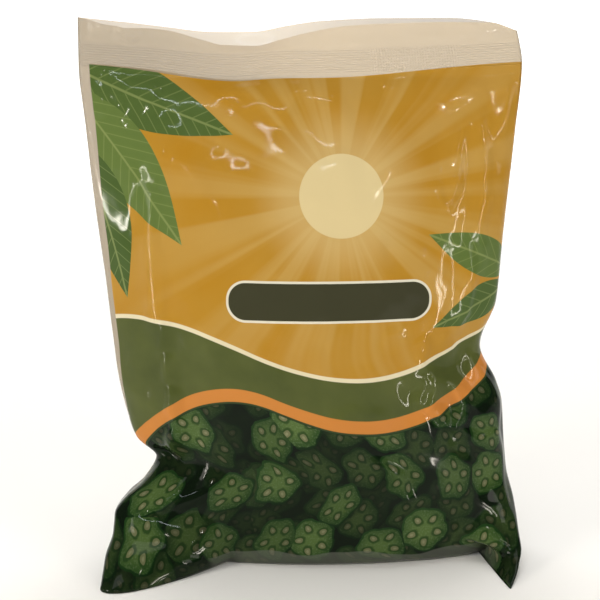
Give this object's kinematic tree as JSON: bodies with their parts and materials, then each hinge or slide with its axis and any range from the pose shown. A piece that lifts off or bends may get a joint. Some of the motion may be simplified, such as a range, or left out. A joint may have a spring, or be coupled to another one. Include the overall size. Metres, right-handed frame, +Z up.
{
  "type": "bag of frozen okra pods",
  "caption": "Sealed printed film pillow bag of frozen baby okra pods, standing on its folded bottom with two corner ears in front.",
  "frame": {"origin": "middle of the box's bottom face, on the surface that the bag stands on", "axes": "+Z up the bag to its welded top, -Y out of the printed front, +X to the right seen from the front"},
  "size_m": [0.204, 0.091, 0.252],
  "materials": {
    "printed_film": "gloss",
    "okra": "matte, frosted"
  },
  "bodies": {
    "root": {"film_bag": "printed_film", "okra_pods_01": "okra", "okra_pods_02": "okra", "okra_pods_03": "okra", "okra_pods_04": "okra", "okra_pods_05": "okra", "okra_pods_06": "okra", "okra_pods_07": "okra", "okra_pods_08": "okra", "okra_pods_09": "okra", "okra_pods_10": "okra", "okra_pods_11": "okra", "okra_pods_12": "okra", "okra_pods_13": "okra", "okra_pods_14": "okra", "okra_pods_15": "okra", "okra_pods_16": "okra", "okra_pods_17": "okra", "okra_pods_18": "okra", "okra_pods_19": "okra", "okra_pods_20": "okra", "okra_pods_21": "okra", "okra_pods_22": "okra", "okra_pods_23": "okra", "okra_pods_24": "okra", "okra_pods_25": "okra", "okra_pods_26": "okra", "okra_pods_27": "okra", "okra_pods_28": "okra", "okra_pods_29": "okra", "okra_pods_30": "okra", "okra_pods_31": "okra", "okra_pods_32": "okra", "okra_pods_33": "okra", "okra_pods_34": "okra", "okra_pods_35": "okra", "okra_pods_36": "okra", "okra_pods_37": "okra", "okra_pods_38": "okra", "okra_pods_39": "okra", "okra_pods_40": "okra", "okra_pods_41": "okra", "okra_pods_42": "okra", "okra_pods_43": "okra", "okra_pods_44": "okra", "okra_pods_45": "okra", "okra_pods_46": "okra", "okra_pods_47": "okra", "okra_pods_48": "okra", "okra_pods_49": "okra", "okra_pods_50": "okra", "okra_pods_51": "okra"}
  },
  "joints": []
}
